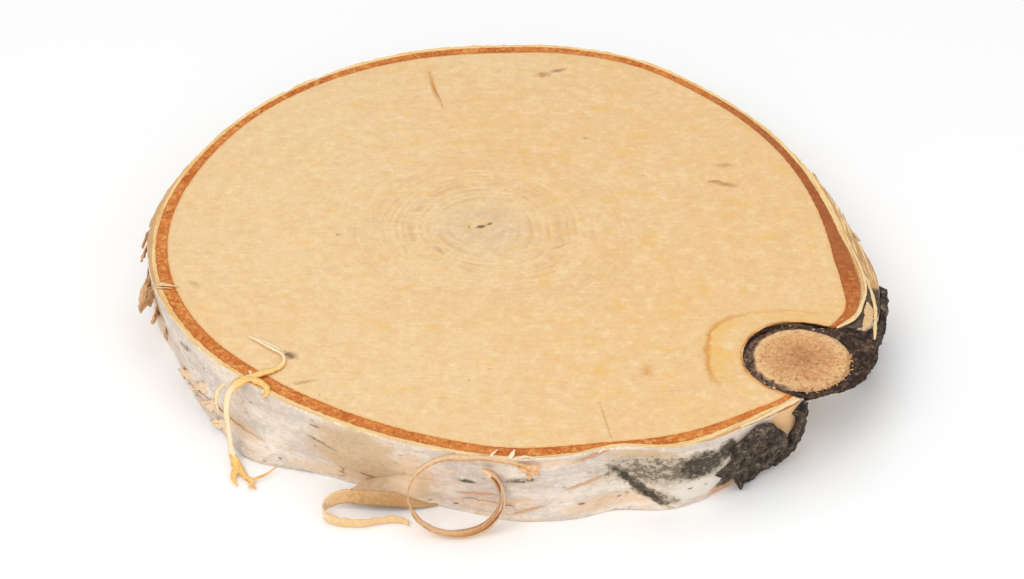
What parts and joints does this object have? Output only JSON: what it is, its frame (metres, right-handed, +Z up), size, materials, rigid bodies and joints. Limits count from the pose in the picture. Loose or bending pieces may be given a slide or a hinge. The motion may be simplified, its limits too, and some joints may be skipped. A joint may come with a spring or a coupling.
{
  "type": "birch wood slice",
  "caption": "Round slice sawn across a birch stem, with its bark, peeling curls and a dead branch stub at the edge, as a base, board or centrepiece.",
  "frame": {"origin": "middle of the bottom cut face, which lies flat on the surface", "axes": "+Z up through the thickness, square to the cut faces; +X towards the side with the branch stub, which sits at the edge between +X and -Y; -Y the front, where the bark curls hang"},
  "size_m": [0.2683, 0.26, 0.0285],
  "materials": {
    "sawn_wood": "bare sawn birch, matte",
    "inner_bark": "orange-brown inner bark, matte",
    "paper_bark": "white paper bark, matte with a faint sheen",
    "bark_crust": "rough black crust",
    "branch_wood": "brown dry branch wood, matte",
    "branch_bark": "dark rough bark",
    "bark_curl": "peach-coloured thin bark, satin",
    "bark_strand": "yellow thin bark, satin"
  },
  "bodies": {
    "root": {"wood": "sawn_wood", "inner_bark": "inner_bark", "outer_bark": "paper_bark", "crust_front": "bark_crust", "crust_side": "bark_crust", "branch_stub": "branch_wood", "branch_bark": "branch_bark", "curl_hoop": "bark_curl", "curl_loop": "bark_curl", "curl_strand": "bark_strand"}
  },
  "joints": []
}
